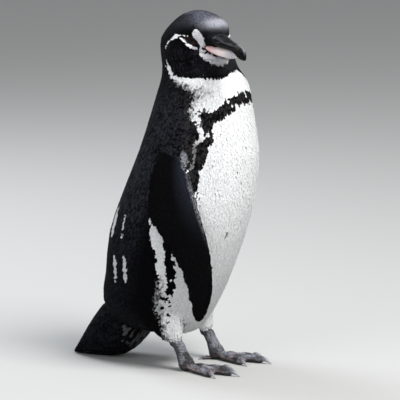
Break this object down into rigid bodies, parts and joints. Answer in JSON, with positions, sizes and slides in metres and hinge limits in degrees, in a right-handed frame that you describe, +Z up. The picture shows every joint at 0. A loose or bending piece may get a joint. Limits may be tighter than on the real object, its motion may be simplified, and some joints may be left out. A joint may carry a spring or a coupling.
{
  "type": "galapagos penguin",
  "caption": "Life-size still model of a Galapagos penguin standing upright, flippers at its sides, head turned to its right, tail laid on the floor behind its feet.",
  "frame": {"origin": "on the floor, under the middle of the bird's bounding box", "axes": "+Z up along the standing body; the bird faces -Y, its left side is +X and its tail points to +Y"},
  "size_m": [0.1426, 0.211, 0.34],
  "materials": {
    "plumage_dark": "dense short overlapping feathers, near-black with bluish-grey tips",
    "plumage_belly": "dense short overlapping feathers, white, with the dark back and flank band",
    "bill_dark": "dark satin horn, greyer at the nostrils",
    "bill_pale": "pale pinkish cream satin horn",
    "eye": "wet, glossy, very dark brown",
    "foot_skin": "bare scaly skin, grey and black with pinkish-grey webs",
    "claw": "dark satin horn"
  },
  "bodies": {
    "root": {"trunk": "plumage_belly", "neck": "plumage_dark", "head": "plumage_dark", "bill_upper": "bill_dark", "bill_lower": "bill_pale", "tail": "plumage_dark", "eye_left": "eye", "flipper_left": "plumage_dark", "leg_left": "plumage_belly", "foot_left": "foot_skin", "claw_left_inner": "claw", "claw_left_middle": "claw", "claw_left_outer": "claw", "claw_left_hind": "claw", "eye_right": "eye", "flipper_right": "plumage_dark", "leg_right": "plumage_belly", "foot_right": "foot_skin", "claw_right_inner": "claw", "claw_right_middle": "claw", "claw_right_outer": "claw", "claw_right_hind": "claw"}
  },
  "joints": []
}
